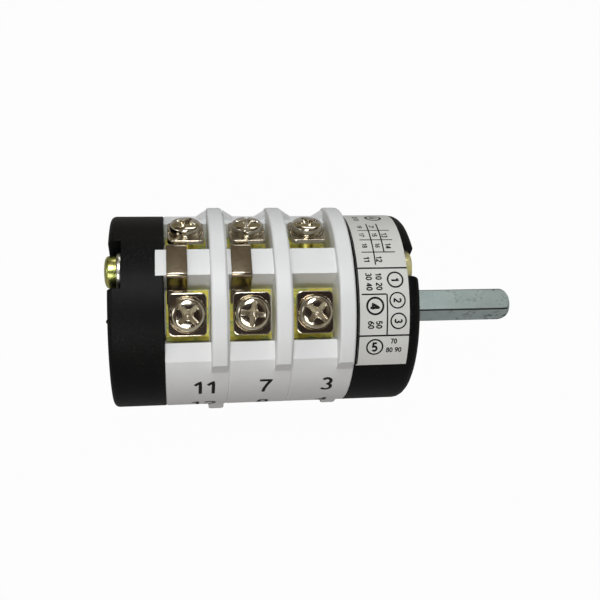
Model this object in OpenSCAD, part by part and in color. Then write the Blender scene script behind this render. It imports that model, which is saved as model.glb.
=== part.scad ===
// Rotary cam switch: three contact stages between two caps, worked by one square shaft.
// X runs along the shaft and out of its free end. The origin is on the shaft's axis,
// in the front cap's mounting face. Z points midway between two rows of terminals.

/* [Barrel] */
// Diameter that the caps and the stages share
body_d = 45; // [44.6:0.1:50]
// Length of one contact stage
stage_l = 14; // [13.8:0.1:16]
// Length of the terminal zone at the rear of a stage
zone_l = 10; // [9.9:0.1:10.2]
// Chamfer that marks the line where two barrel pieces meet
seam = 0.2; // [0.1:0.05:0.4]
// Width of the boss between two terminals, which covers a through-bolt
boss_w = 6.54; // [6:0.02:7]
// Length of the key with which each piece enters the one behind it
key_l = 1.8; // [1:0.1:2.6]

/* [Ribs] */
// Width of the rib in front of each row of terminals, along the shaft
rib_w = 3.6; // [3:0.1:3.7]
// Height of the rib above the barrel
rib_h = 2; // [1.2:0.1:4]
// Rounding of the rib's two outer edges
rib_round = 0.6; // [0.2:0.1:1]
// Slope of a rib's two ends, down to the barrel
rib_slope = 35; // [35:1:60]
// Run of the ramps beside the far end of a rib, along the shaft
ramp_run = 2.4; // [1:0.1:3]
// Height of these ramps above the land
ramp_h = 1.7; // [0.8:0.1:2]
// Length of these ramps across the land
ramp_l = 2.2; // [1:0.1:3]

/* [Terminals] */
// Angle of a terminal's face from the plane through the through-bolts
tilt = 30; // [29:0.5:31]
// Depth of a terminal pocket below the barrel surface
pocket_depth = 7.3; // [6.9:0.1:7.6]
// Depth of the flat land beside a pocket below the barrel surface
land_depth = 2.67; // [2:0.01:3.2]
// Thickness of a terminal's pad
pad_t = 1; // [0.8:0.1:1.2]
// Thickness of a terminal's leg, which carries its contact
leg_t = 1; // [0.8:0.1:1.2]
// Width of a terminal's leg along the shaft
leg_w = 5; // [4:0.1:5.6]
// Diameter of a terminal's contact button
button_d = 2.8; // [2:0.1:3]
// Height of a terminal's contact button
button_h = 0.6; // [0.4:0.1:0.8]

/* [Clamp plates and screws] */
// Side of the clamp plate along the shaft
clamp_w = 8.3; // [7.6:0.1:9.4]
// Side of the clamp plate across the shaft
clamp_l = 9.4; // [8.4:0.1:9.6]
// Thickness of the clamp plate
clamp_t = 1; // [0.8:0.1:1.2]
// Height of the clamp plate above the jumper strip, with the screw open for a wire
clamp_open = 3; // [2:0.1:3.2]
// Rounding of the clamp plate's corners
clamp_round = 1.2; // [0.4:0.1:3]
// Distance of a terminal screw from the middle of its face, across the shaft
screw_t = 0.3; // [0:0.1:0.5]
// Thread diameter of a terminal screw
screw_d = 3.5; // [3:0.1:3.7]
// Length of a terminal screw below its head
screw_l = 8.4; // [7.4:0.1:8.6]
// Diameter of a terminal screw's pan head
head_d = 7; // [6:0.1:7.4]
// Height of a terminal screw's pan head
head_h = 2.4; // [1.8:0.1:2.8]
// Width of one arm of the cross recess
recess_w = 0.95; // [0.6:0.05:1.2]
// Length across the cross recess
recess_l = 4.6; // [3:0.1:5]
// Depth of the cross recess
recess_depth = 1.3; // [0.8:0.1:1.6]

/* [Jumper strips] */
// Width of a jumper strip along the shaft
strip_w = 4.5; // [3.6:0.1:5]
// Thickness of a jumper strip
strip_t = 0.8; // [0.5:0.1:1]
// Distance of a jumper strip from the rear face of its stage
strip_start = 0.6; // [0.4:0.1:1]

/* [Rear cap] */
// Thickness of the rear cap
rear_t = 12; // [10.6:0.1:16]
// Rounding of the rear cap's outer edge
rear_round = 1.2; // [0.4:0.1:2]
// Width of the notch round a bolt head
head_notch_w = 12; // [9:0.1:14]
// Depth of the notch round a bolt head
head_notch_depth = 2.9; // [1.5:0.1:3.4]
// Depth of the blind bearing for the shaft's rear end
bearing_depth = 8; // [5:0.1:9]
// Inner diameter of the moulded ring groove inside the rear cap
core_in_d = 13; // [12:0.1:15]
// Outer diameter of the moulded ring groove inside the rear cap
core_out_d = 25; // [20:0.1:28]
// Depth of the moulded ring groove inside the rear cap
core_depth = 7; // [3:0.1:8]

/* [Front cap] */
// Thickness of the front cap
front_t = 15; // [14.4:0.1:18]
// Rounding of the front cap's outer edge
front_round = 2.5; // [1:0.1:3.5]
// Thickness of the front cap's wall
front_wall = 5.5; // [5.2:0.1:6.4]
// Width of the notch round a bolt nut
nut_notch_w = 8.4; // [7.6:0.1:10]
// Depth of the notch round a bolt nut
nut_notch_depth = 3.7; // [2.4:0.1:4.4]

/* [Through-bolts] */
// Thread diameter of a through-bolt
bolt_d = 4; // [3:0.1:4.2]
// Distance from the barrel surface to a through-bolt's axis
bolt_inset = 4.2; // [4.1:0.1:5]
// Diameter of a through-bolt's pan head
bolt_head_d = 7.2; // [6:0.1:8]
// Height of a through-bolt's pan head
bolt_head_h = 2.8; // [2:0.1:3.4]
// Diameter of the washer under a bolt head
washer_d = 8.4; // [7:0.1:8.6]
// Thickness of the washer under a bolt head
washer_t = 0.9; // [0.5:0.1:1.2]
// Width of a bolt nut across its flats
nut_w = 7; // [6:0.1:7.2]
// Thickness of a bolt nut
nut_t = 2.3; // [1.6:0.1:2.4]

/* [Mounting inserts] */
// Diameter of the circle on which the four threaded inserts lie
insert_pcd = 34; // [32:0.1:35]
// Outer diameter of an insert
insert_d = 5.6; // [4.6:0.1:6]
// Diameter inside an insert's thread
insert_bore = 3.3; // [2.5:0.1:3.5]
// Length of an insert
insert_l = 5; // [3:0.1:5.1]

/* [Rating label] */
// Thickness of the label
label_t = 0.12; // [0.08:0.02:0.3]
// Distance of the label from the front cap's rear face
label_start = 0.4; // [0.3:0.1:2]
// Distance of the label from the mounting face
label_end = 3; // [2.6:0.1:5]
// Half of the angle that the label covers
label_half = 63.8; // [50:0.1:80]

/* [Shaft] */
// Width across the flats of the square shaft
shaft_w = 6; // [5.2:0.1:6.4]
// Length of the shaft in front of the mounting face
shaft_l = 29; // [15:1:60]
// Rounding turned on the shaft's free end
shaft_round = 2.6; // [1:0.1:3]
// Break on the shaft's long edges
shaft_edge = 0.25; // [0.1:0.05:0.5]
// Length of the shaft's rear journal inside its bearing
journal_l = 7; // [4:0.1:7.6]
// Outer diameter of the retaining ring
clip_d = 9.6; // [8:0.1:12]
// Thickness of the retaining ring
clip_t = 0.8; // [0.5:0.1:1]
// Width of the gap in the retaining ring
clip_open = 3; // [2:0.1:4]

/* [Cams] */
// Radius of a cam at rest, under a plunger
cam_r = 8; // [7.6:0.1:8.2]
// Rise of a cam over the turn from one position to the next
cam_lift = 1.5; // [1.2:0.1:1.6]
// Width of a cam along the shaft
cam_w = 6; // [5.6:0.1:6.2]
// Diameter of a cam's hub, which turns in its stage's wall
hub_d = 13.9; // [12:0.1:14.6]
// Turn from one switch position to the next
step_angle = 45; // [45]

/* [Contacts] */
// Width of a plunger along the shaft
plunger_w = 4.6; // [3.6:0.1:4.8]
// Thickness of a plunger, which is also the diameter of its round nose
plunger_h = 4.8; // [4:0.1:5.2]
// Width of a contact bridge along the shaft
bridge_w = 4; // [3.4:0.1:4.6]
// Length of a contact bridge
bridge_l = 15; // [14:0.1:15.4]
// Thickness of a contact bridge
bridge_t = 1.2; // [0.9:0.1:1.4]
// Height of a contact bridge's buttons
bridge_button_h = 0.5; // [0.3:0.1:0.7]
// Distance of a contact's centre from the plunger's axis
contact_z = 5.6; // [5.4:0.1:5.8]
// Diameter of the stub that holds a bridge on its plunger
stub_d = 2.2; // [1.8:0.1:2.6]
// Wire diameter of a contact spring
spring_wire = 0.4; // [0.3:0.05:0.45]
// Mean diameter of a contact spring
spring_d = 3.8; // [3.4:0.1:4]
// Turns of a contact spring
spring_turns = 2.25; // [1.75:0.25:2.5]
// Length of a contact spring when it is pressed together
spring_solid = 1.4; // [1.2:0.1:1.8]

/* [Detent] */
// Diameter of the star wheel
star_d = 19.6; // [19:0.1:19.8]
// Radius of a notch in the star wheel
star_notch_r = 1.9; // [1.7:0.05:2]
// Diameter of the circle on which the notch centres lie
star_notch_pcd = 21.2; // [21:0.1:21.4]
// Width of the star wheel along the shaft
star_w = 7.1; // [6:0.1:7.2]
// Width of a leaf spring along the shaft
leaf_w = 6; // [4:0.1:6.6]
// Thickness of a leaf spring
leaf_t = 0.5; // [0.3:0.05:0.6]
// Half of the angle that the stop lug covers
lug_half = 9; // [6:0.5:14]
// Outer radius of the stop lug
lug_r = 9.4; // [8.6:0.1:9.6]
// Height of the stop lug in front of the star wheel
lug_h = 2.5; // [1.5:0.1:2.8]

/* [Clearances] */
// Radial gap of a turning fit
run_gap = 0.05; // [0.03:0.01:0.08]
// Gap beside a part that slides in a slot
slide_gap = 0.1; // [0.06:0.02:0.2]
// Gap between a fixed part and the seat moulded for it
seat_gap = 0.1; // [0.04:0.02:0.2]
// Radial gap round a screw or an insert in its hole
thread_gap = 0.03; // [0.01:0.01:0.05]
// Gap between a cam and the nose of its plunger
cam_gap = 0.18; // [0.16:0.02:0.3]
// Gap between a turning part and the chamber round it
turn_gap = 0.5; // [0.3:0.05:0.55]
// Gap between closed contacts
close_gap = 0.1; // [0.04:0.02:0.14]

/* [Hidden] */
$fn = 72;
stage_n = 3;
// One overrun for every cut that leaves a part
over = 50;
// Rear end of stage i, counted from the front
function stage_x(i) = -front_t - i * stage_l;
// Places around the axis: 1 and -1 pick the side along Y and along Z
sides = [[1, 1], [1, -1], [-1, 1], [-1, -1]];

body_r = body_d / 2;
boss_half = boss_w / 2;
bolt_z = body_r - bolt_inset;
bolt_hole_r = bolt_d / 2 + seat_gap;
// Inner end of the notches and keys at a bolt
bolt_seat_z = bolt_z - washer_d / 2 - seat_gap;
key_z = bolt_z - bolt_hole_r - seat_gap * 5;

// Angle over which a cam goes on rising past its last position
cam_over = 5;
// Radial stack from the cam out to the wall of the contact chamber
cam_max_r = cam_r + cam_lift * (1 + cam_over / step_angle);
cam_room_r = cam_max_r + turn_gap;
guide_t = 1.4 * leg_t;
guide_y = cam_room_r + guide_t;
leg_y = guide_y + 4 * seat_gap;
button_y = leg_y + leg_t + button_h;
bridge_y = button_y + close_gap + bridge_button_h + cam_lift;
bridge_top_y = bridge_y + bridge_t;
stub_h = bridge_t + 3 * seat_gap;
room_y = bridge_top_y + cam_lift + spring_solid;
room_z = bridge_l / 2 + 8 * slide_gap;
nose_y = cam_r + cam_gap;
plunger_x = zone_l / 2;
cam_x = plunger_x - cam_w / 2;
room_l = cam_x + cam_w + 4 * slide_gap;
hub_r = hub_d / 2;
hub_bore_r = hub_r + run_gap;

// Terminal pocket, in the frame of a terminal's face: t across, d out from the axis
floor_d = body_r - pocket_depth;
land_d = body_r - land_depth;
pad_d = floor_d + pad_t;
clamp_d = pad_d + strip_t + clamp_open;
head_base_d = clamp_d + clamp_t;
leg_out_t = (leg_y + leg_t - floor_d * sin(tilt)) / cos(tilt);
pad_in_t = (boss_half + seat_gap - floor_d * sin(tilt)) / cos(tilt);
pad_out_t = leg_out_t + seat_gap;
pocket_t = pad_out_t + 2 * seat_gap;
ridge_t = sqrt(pow(body_r, 2) - pow(land_d, 2));
rib_half = tilt + atan(ridge_t / land_d);
// Half angle of the lower rib of each stage, as shares of a right angle
low_rib_shares = [0.55, 0.43, 0.59];
// Angle that the sloping end of a rib takes, with its foot inside the barrel
rib_foot_share = 1.5;
rib_end = atan(rib_foot_share * rib_h / tan(rib_slope) / body_r);
pad_w = zone_l - 6 * seat_gap;
leg_end_z = contact_z - button_d / 2;

// Detent, between the front stage and the front cap's wall
star_x = stage_x(1) + cam_x + stage_l;
star_r = star_d / 2;
star_room_r = star_r + turn_gap;
leaf_tip_y = star_notch_pcd / 2 - star_notch_r + slide_gap * 1.5 + leaf_t / 2;
leaf_flat_y = star_r + turn_gap + leaf_t / 2 + slide_gap;
leaf_end_y = leaf_flat_y + 3.5 * leaf_t;
leaf_room_y = leaf_end_y + leaf_t / 2 + slide_gap;
leaf_room_z = star_r;
lug_room_r = lug_r + 2 * slide_gap;
// Spare angle at each end of the recess in which the stop lug turns
lug_play = 1;
lug_room_half = step_angle + lug_half + lug_play;
star_count = 360 / step_angle;
bearing_r = shaft_w / 2;
journal_r = bearing_r - run_gap;

// Outline drawn in the Y-Z plane, made solid from x over the length l
module along_x(x, l) translate([x, 0, 0]) rotate([90, 0, 90]) linear_extrude(l) children();

// Outline of radius against X, turned about the X axis from angle a over the angle sweep.
// Angles run from +Y towards +Z.
module around_x(a = 0, sweep = 360) rotate([90, 0, 90]) rotate(a)
    rotate_extrude(angle = sweep) children();

// Round bar along X
module bar_x(x, l, r) along_x(x, l) circle(r);

// Frame of a terminal's face on one side: X stays, Y runs across it and Z runs out
module at_face(x, side) translate([x, 0, 0]) mirror([0, side[0] < 0 ? 1 : 0, 0])
    mirror([0, 0, side[1] < 0 ? 1 : 0]) rotate([-tilt, 0, 0]) children();

// The same frame, moved across the face to the terminal screw's axis
module at_screw(x, side) at_face(x, side) translate([0, screw_t, 0]) children();

// Copies of the children on all four sides
module on_sides(list) for (s = list) mirror([0, s[0] < 0 ? 1 : 0, 0])
    mirror([0, 0, s[1] < 0 ? 1 : 0]) children();

// Points of a quarter round of radius r about c, from angle a
function quarter(c, r, a, n = 5) = [for (k = [0:n]) c + r * [cos(a + 90 * k / n), sin(a + 90 * k / n)]];

// Outline of a strip of thickness t along a path of points
function normal(p, q) = [p[1] - q[1], q[0] - p[0]] / norm(q - p);
function corner(path, k) =
    k == 0 ? normal(path[0], path[1]) :
    k == len(path) - 1 ? normal(path[k - 1], path[k]) :
    let (m = normal(path[k - 1], path[k]) + normal(path[k], path[k + 1]))
    m * 2 / (m * m);
function strip_outline(path, t) = concat(
    [for (k = [0:len(path) - 1]) path[k] + corner(path, k) * t / 2],
    [for (k = [len(path) - 1:-1:0]) path[k] - corner(path, k) * t / 2]);

// Square with rounded corners
module rounded_plate(w, l, r) polygon(concat(
    quarter([w / 2 - r, l / 2 - r], r, 0), quarter([r - w / 2, l / 2 - r], r, 90),
    quarter([r - w / 2, r - l / 2], r, 180), quarter([w / 2 - r, r - l / 2], r, 270)));

// Barrel piece from x over the length l, chamfered at both ends, with an optional round
module barrel(x, l, rear = seam, front = seam) around_x() polygon(concat(
    [[0, x]],
    rear > seam ? [for (p = quarter([body_r - rear, x + rear], rear, 270)) p] :
        [[body_r - seam, x], [body_r, x + seam]],
    front > seam ? [for (p = quarter([body_r - front, x + l - front], front, 0)) p] :
        [[body_r, x + l - seam], [body_r - seam, x + l]],
    [[0, x + l]]));

// Key behind the face at x, on both bosses
module keys(x, outer) for (m = [0, 1]) mirror([0, 0, m]) along_x(x - key_l, key_l + seam)
    intersection() {
        circle(outer);
        translate([-boss_half, key_z]) square([boss_w, over]);
    }

// Notch that takes a key, behind the face at x
module key_notches(x, outer) for (m = [0, 1]) mirror([0, 0, m])
    along_x(x - key_l - seat_gap, key_l + over) intersection() {
        circle(outer);
        translate([-boss_half - seat_gap, key_z - seat_gap]) square([boss_w + 2 * seat_gap, over]);
    }

// Through-bolt holes over the whole switch
module bolt_holes() for (m = [1, -1]) translate([0, 0, m * bolt_z])
    bar_x(-over * 2, over * 4, bolt_hole_r);

// Cross-section of a terminal pocket with the flat land beside it
module pocket_section() difference() {
    rotate(-tilt) {
        translate([-over, floor_d]) square([over + pocket_t, over]);
        translate([0, land_d]) square([over, over]);
    }
    translate([-over, -over]) square([over + boss_half, over * 2]);
}

// Rib over the angle half on both sides of the middle angle mid, and its two sloping ends
module rib(x, mid, half) difference() {
    around_x(mid - half - rib_end, (half + rib_end) * 2) polygon(concat(
        [[body_r - rib_h, x]],
        quarter([body_r + rib_h - rib_round, x + rib_round], rib_round, 270),
        quarter([body_r + rib_h - rib_round, x + rib_w - rib_round], rib_round, 0),
        [[body_r - rib_h, x + rib_w]]));
    for (m = [0, 1]) rotate([mid - 90, 0, 0]) mirror([0, m, 0]) rotate([-half, 0, 0])
        translate([x - over, 0, body_r + rib_h]) rotate([-rib_slope, 0, 0]) cube(over * 2);
}

// Ramp at the far end of the land, which rises beside the rib: rise is 1 towards +X and 0 towards -X
module ramp(x, rise) at_face(x, sides[0]) translate([0, ridge_t, 0]) rotate([90, 0, 0])
    linear_extrude(ramp_l)
    polygon([[0, land_d - rib_h], [ramp_run, land_d - rib_h],
        [ramp_run, land_d + rise * ramp_h], [0, land_d + (1 - rise) * ramp_h]]);

// Moulded body of stage i: pockets and chambers at its rear, a wall and a rib at its front
module stage_body(i) {
    x = stage_x(i);
    color([0.90, 0.92, 0.93]) difference() {
        union() {
            difference() {
                barrel(x, stage_l);
                on_sides(sides) along_x(x - over, over + zone_l) pocket_section();
            }
            rib(x + zone_l, 90, rib_half);
            rib(x + zone_l, 270, 90 * low_rib_shares[i - 1]);
            ramp(x + zone_l - ramp_run, 1);
            if (i < stage_n) ramp(x, 0);
            keys(x, body_r - seat_gap);
        }
        key_notches(x + stage_l, body_r);
        bolt_holes();
        bar_x(x - over, over + room_l, cam_room_r);
        bar_x(x, stage_l + over, hub_bore_r);
        for (m = [0, 1]) mirror([0, m, 0]) {
            along_x(x - over, over + room_l) translate([guide_y, -room_z])
                square([room_y - guide_y, room_z * 2]);
            along_x(x - over, over + plunger_x + plunger_w / 2 + slide_gap)
                translate([0, -plunger_h / 2 - slide_gap])
                    square([guide_y + leg_t / 2, plunger_h + 2 * slide_gap]);
        }
        on_sides(sides) along_x(x - over, over + plunger_x + leg_w / 2 + slide_gap)
            translate([leg_y - seat_gap, 0]) square([leg_t + 2 * seat_gap, floor_d]);
        for (s = sides) at_screw(x + plunger_x, s)
            translate([0, 0, head_base_d - screw_l - 3 * seat_gap])
                cylinder(r = screw_d / 2 + 2 * seat_gap, h = over);
    }
}

// Cap behind the last stage, with the shaft's blind bearing
module rear_cap() {
    x = stage_x(stage_n);
    color([0.10, 0.10, 0.11]) difference() {
        barrel(x - rear_t, rear_t, rear = rear_round);
        key_notches(x, over);
        bolt_holes();
        bar_x(x - bearing_depth, over, bearing_r);
        along_x(x - core_depth, over) difference() {
            circle(core_out_d / 2);
            circle(core_in_d / 2);
        }
        for (m = [0, 1]) mirror([0, 0, m]) translate([x - rear_t - over, -head_notch_w / 2, bolt_seat_z])
            cube([over + head_notch_depth, head_notch_w, over]);
    }
}

// Cap in front of the first stage, with the detent chamber, the stop recess and the inserts' seats
module front_cap() {
    color([0.10, 0.10, 0.11]) difference() {
        union() {
            barrel(-front_t, front_t, front = front_round);
            keys(-front_t, body_r - seat_gap);
        }
        bolt_holes();
        bar_x(-over, over * 2, hub_bore_r);
        bar_x(-front_wall - over, over, star_room_r);
        along_x(-front_wall - over, over) translate([-leaf_room_y, -leaf_room_z])
            square([leaf_room_y * 2, leaf_room_z * 2]);
        around_x(-90 - lug_room_half, lug_room_half * 2)
            translate([shaft_w / 2, -front_wall - seam])
                square([lug_room_r - shaft_w / 2, seam + lug_h]);
        for (m = [0, 1]) mirror([0, 0, m]) translate([-nut_notch_depth, -nut_notch_w / 2, bolt_seat_z])
            cube([over, nut_notch_w, over]);
        at_inserts() bar_x(-insert_l, over, insert_d / 2 + thread_gap);
    }
}

// Places of the four inserts, on the diagonals
module at_inserts() for (k = [0:3]) rotate([45 + 90 * k, 0, 0])
    translate([0, insert_pcd / 2, 0]) children();

module threaded_inserts() color([0.78, 0.62, 0.30]) at_inserts() difference() {
    bar_x(-insert_l, insert_l, insert_d / 2);
    bar_x(-insert_l - over, over * 2, insert_bore / 2);
}

module rating_label() color([0.93, 0.93, 0.90]) around_x(90 - label_half, label_half * 2)
    translate([body_r, -front_t + label_start]) square([label_t, front_t - label_start - label_end]);

// Terminal of stage i on one side: clamping pad, leg through the floor, contact button
module terminal(i, side) {
    x = stage_x(i) + plunger_x;
    color([0.66, 0.60, 0.25]) difference() {
        union() {
            at_face(x, side) translate([-pad_w / 2, pad_in_t, floor_d])
                cube([pad_w, pad_out_t - pad_in_t, pad_t]);
            on_sides([side]) along_x(x - leg_w / 2, leg_w) polygon([
                [leg_y, leg_end_z], [leg_y + leg_t, leg_end_z],
                for (y = [leg_y + leg_t, leg_y]) [y, (floor_d + pad_t / 2 - y * sin(tilt)) / cos(tilt)]]);
            on_sides([side]) translate([x, leg_y + leg_t / 2, contact_z]) rotate([-90, 0, 0])
                cylinder(d = button_d, h = leg_t / 2 + button_h);
        }
        at_screw(x, side) cylinder(r = screw_d / 2 + thread_gap, h = over);
    }
}

// The four clamp plates of stage i
module clamp_plates(i) color([0.70, 0.67, 0.60]) for (s = sides) at_screw(stage_x(i) + plunger_x, s)
    translate([0, 0, clamp_d]) linear_extrude(clamp_t) difference() {
        rounded_plate(clamp_w, clamp_l, clamp_round);
        circle(screw_d / 2 + 2 * seat_gap);
    }

// Pan head of diameter d and height h that stands on z = 0, and the shares of d and h
// that its dome spans
dome_half_share = 0.46;
dome_rise_share = 0.62;
module pan_head(d, h) {
    rise = h * dome_rise_share;
    dome_r = (pow(d * dome_half_share, 2) + pow(rise, 2)) / (2 * rise);
    intersection() {
        cylinder(d = d, h = h);
        translate([0, 0, h - dome_r]) sphere(dome_r, $fn = 96);
    }
}

// Cross recess whose arms end below z = 0
module cross_recess(w, l, depth) for (a = [0, 90]) rotate(a) translate([-l / 2, -w / 2, -depth])
    cube([l, w, over]);

// The four screws of stage i, each turned to its own angle
screw_turns = [25, 70, 10, 50, 80, 35];
module terminal_screws(i) color([0.72, 0.69, 0.63]) for (k = [0:3])
    at_screw(stage_x(i) + plunger_x, sides[k]) translate([0, 0, head_base_d]) {
        difference() {
            pan_head(head_d, head_h);
            translate([0, 0, head_h]) rotate(screw_turns[(i + k) % len(screw_turns)])
                cross_recess(recess_w, recess_l, recess_depth);
        }
        translate([0, 0, -screw_l]) cylinder(d = screw_d, h = screw_l + head_h / 4);
    }

// Strip over the boss of stage i, with a foot under a clamp plate at each end
module jumper(i) {
    x = stage_x(i);
    foot_d = pad_d + strip_t / 2;
    wall_y = boss_half + seat_gap + strip_t / 2;
    top_z = body_r + seat_gap + strip_t / 2;
    foot_z = (foot_d - wall_y * sin(tilt)) / cos(tilt);
    foot_t = screw_t + screw_d / 4;
    foot_end = [foot_d * sin(tilt) + foot_t * cos(tilt), foot_d * cos(tilt) - foot_t * sin(tilt)];
    bend = strip_t;
    half = [[0, top_z], [wall_y - bend, top_z], [wall_y - bend / 4, top_z - bend / 4],
        [wall_y, top_z - bend], [wall_y, foot_z], foot_end];
    path = concat([for (k = [len(half) - 1:-1:1]) [-half[k][0], half[k][1]]],
        [for (k = [1:len(half) - 1]) half[k]]);
    color([0.55, 0.52, 0.45]) difference() {
        along_x(x + strip_start, strip_w) polygon(strip_outline(path, strip_t));
        for (s = [sides[0], sides[2]]) at_screw(x + plunger_x, s)
            translate([0, 0, floor_d]) cylinder(r = screw_d / 2 + seat_gap, h = pocket_depth);
    }
}

module through_bolts() {
    seat_x = stage_x(stage_n) - rear_t + head_notch_depth;
    color([0.80, 0.74, 0.38]) for (m = [1, -1]) translate([seat_x, 0, m * bolt_z]) {
        translate([-washer_t, 0, 0]) rotate([0, -90, 0]) difference() {
            pan_head(bolt_head_d, bolt_head_h);
            translate([0, 0, bolt_head_h]) cross_recess(recess_w, recess_l, recess_depth);
        }
        bar_x(-washer_t, washer_t - seat_x - nut_notch_depth + nut_t, bolt_d / 2);
    }
}

module bolt_washers() color([0.82, 0.80, 0.70]) for (m = [1, -1])
    translate([stage_x(stage_n) - rear_t + head_notch_depth - washer_t, 0, m * bolt_z]) difference() {
        bar_x(0, washer_t, washer_d / 2);
        bar_x(-over, over * 2, bolt_hole_r);
    }

module bolt_nuts() color([0.80, 0.74, 0.38]) for (m = [1, -1])
    translate([-nut_notch_depth, 0, m * bolt_z]) difference() {
        along_x(0, nut_t) rotate(30) circle(d = nut_w / cos(30), $fn = 6);
        bar_x(-over, over * 2, bolt_d / 2 + thread_gap);
    }

// Square shaft with a round rear journal, a groove for its ring and a turned free end
module shaft() {
    x = stage_x(stage_n) + cam_x;
    rear_x = stage_x(stage_n) - journal_l;
    corner_r = shaft_w / 2 * sqrt(2) - shaft_edge;
    color([0.62, 0.67, 0.68]) {
        intersection() {
            along_x(x, shaft_l - x) square(shaft_w, center = true);
            around_x() polygon(concat([[0, x], [corner_r, x]],
                quarter([corner_r - shaft_round, shaft_l - shaft_round], shaft_round, 0, 8),
                [[0, shaft_l]]));
        }
        difference() {
            bar_x(rear_x, x - rear_x, journal_r);
            along_x(x - clip_t - seat_gap, clip_t + seat_gap) difference() {
                circle(shaft_w);
                circle(ring_in_r());
            }
        }
    }
}

// Inner radius of the retaining ring's groove
function ring_in_r() = journal_r - clip_t / 2;

module retaining_ring() color([0.45, 0.46, 0.48])
    along_x(stage_x(stage_n) + cam_x - clip_t - seat_gap / 2, clip_t) difference() {
        circle(d = clip_d);
        circle(ring_in_r() + thread_gap);
        translate([-clip_open / 2, 0]) square([clip_open, over]);
    }

// Radius of a cam at an angle from +Y. It falls evenly past the plunger on that side,
// and rises evenly past the one on the other side.
function cam_radius(a) =
    let (side = cos(a) < 0 ? 180 - a : a, s = side > 180 ? side - 360 : side,
        most = 1 + cam_over / step_angle)
    cam_r - cam_lift * max(-most, min(most, s / step_angle));

module cam(i) {
    x = stage_x(i) + cam_x;
    color([0.86, 0.55, 0.22]) difference() {
        union() {
            along_x(x, cam_w) polygon([for (a = [-90:5:265]) cam_radius(a) * [cos(a), sin(a)]]);
            bar_x(x + cam_w, stage_l - cam_w, hub_r);
        }
        along_x(x - over, over * 2) square(shaft_w + 2 * seat_gap, center = true);
    }
}

// Star wheel that the leaf springs hold, with the stop lug and the front hub
module detent_rotor() color([0.30, 0.45, 0.62]) difference() {
    union() {
        along_x(star_x, star_w) difference() {
            circle(star_r);
            for (k = [0:star_count - 1]) rotate(k * step_angle) translate([star_notch_pcd / 2, 0])
                circle(star_notch_r);
        }
        bar_x(star_x, -star_x - 5 * seat_gap, hub_r);
        around_x(-90 - lug_half, lug_half * 2) translate([shaft_w, star_x + star_w - seam])
            square([lug_r - shaft_w, seam + lug_h - seat_gap]);
    }
    along_x(star_x - over, over * 2) square(shaft_w + 2 * seat_gap, center = true);
}

// Leaf spring whose crest lies in a notch of the star wheel, and the share of its half length
// at which it turns outwards
leaf_bend_share = 0.84;
module leaf_spring(m) {
    crest = star_notch_r / 4;
    flank = star_notch_r + slide_gap;
    half = [[leaf_tip_y, crest], [leaf_flat_y, flank],
        [leaf_flat_y + leaf_t, leaf_room_z * leaf_bend_share], [leaf_end_y, leaf_room_z - leaf_t]];
    path = concat([for (k = [len(half) - 1:-1:0]) [half[k][0], -half[k][1]]], half);
    color([0.70, 0.71, 0.73]) mirror([0, m, 0])
        along_x(star_x + (star_w - leaf_w) / 2, leaf_w) polygon(strip_outline(path, leaf_t));
}

// Plunger between a cam and its contact bridge, on the side m of stage i
module plunger(i, m) color([0.88, 0.86, 0.78])
    translate([stage_x(i) + plunger_x, 0, 0]) mirror([0, m, 0]) {
        translate([-plunger_w / 2, nose_y + plunger_h / 2, 0]) rotate([0, 90, 0])
            cylinder(d = plunger_h, h = plunger_w);
        translate([-plunger_w / 2, nose_y + plunger_h / 2, -plunger_h / 2])
            cube([plunger_w, bridge_y - nose_y - plunger_h / 2, plunger_h]);
        translate([0, bridge_y - bridge_t, 0]) rotate([-90, 0, 0])
            cylinder(d = stub_d, h = bridge_t + stub_h);
    }

// Contact bridge with a button at each end, on the side m of stage i
module bridge(i, m) color([0.76, 0.48, 0.30])
    translate([stage_x(i) + plunger_x, 0, 0]) mirror([0, m, 0]) {
        difference() {
            translate([-bridge_w / 2, bridge_y, -bridge_l / 2]) cube([bridge_w, bridge_t, bridge_l]);
            rotate([-90, 0, 0]) cylinder(r = stub_d / 2 + thread_gap, h = over);
        }
        for (z = [contact_z, -contact_z]) translate([0, bridge_y - bridge_button_h, z])
            rotate([-90, 0, 0]) cylinder(d = button_d, h = bridge_button_h);
    }

// Points of one ring of the wire of a spring whose axis is Y, at the turn angle a and height y
function wire_ring(a, y, rise) =
    let (out = [cos(a), 0, sin(a)], run = [-sin(a) * PI * spring_d, rise, cos(a) * PI * spring_d],
        up = cross(out, run) / norm(run))
    [for (k = [0:5]) out * spring_d / 2 + [0, y, 0]
        + spring_wire / 2 * (out * cos(60 * k) + up * sin(60 * k))];

// Coil spring between the bridge and the chamber's wall, one unbroken tube
module contact_spring(i, m) {
    low = bridge_top_y + spring_wire / 2 + slide_gap / 2;
    high = room_y - spring_wire / 2 - slide_gap / 2;
    rise = (high - low) / spring_turns;
    steps = ceil(spring_turns * 12);
    rings = [for (k = [0:steps])
        wire_ring(360 * spring_turns * k / steps, low + (high - low) * k / steps, rise)];
    points = [for (ring = rings) each ring];
    sides_f = [for (k = [0:steps - 1]) for (j = [0:5])
        let (a = 6 * k + j, b = 6 * k + (j + 1) % 6) each [[a, a + 6, b], [b, a + 6, b + 6]]];
    ends_f = [for (j = [1:4]) each [[0, j, j + 1], [6 * steps, 6 * steps + j + 1, 6 * steps + j]]];
    color([0.60, 0.61, 0.63]) translate([stage_x(i) + plunger_x, 0, 0]) mirror([0, m, 0])
        polyhedron(points, concat(sides_f, ends_f));
}

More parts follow.
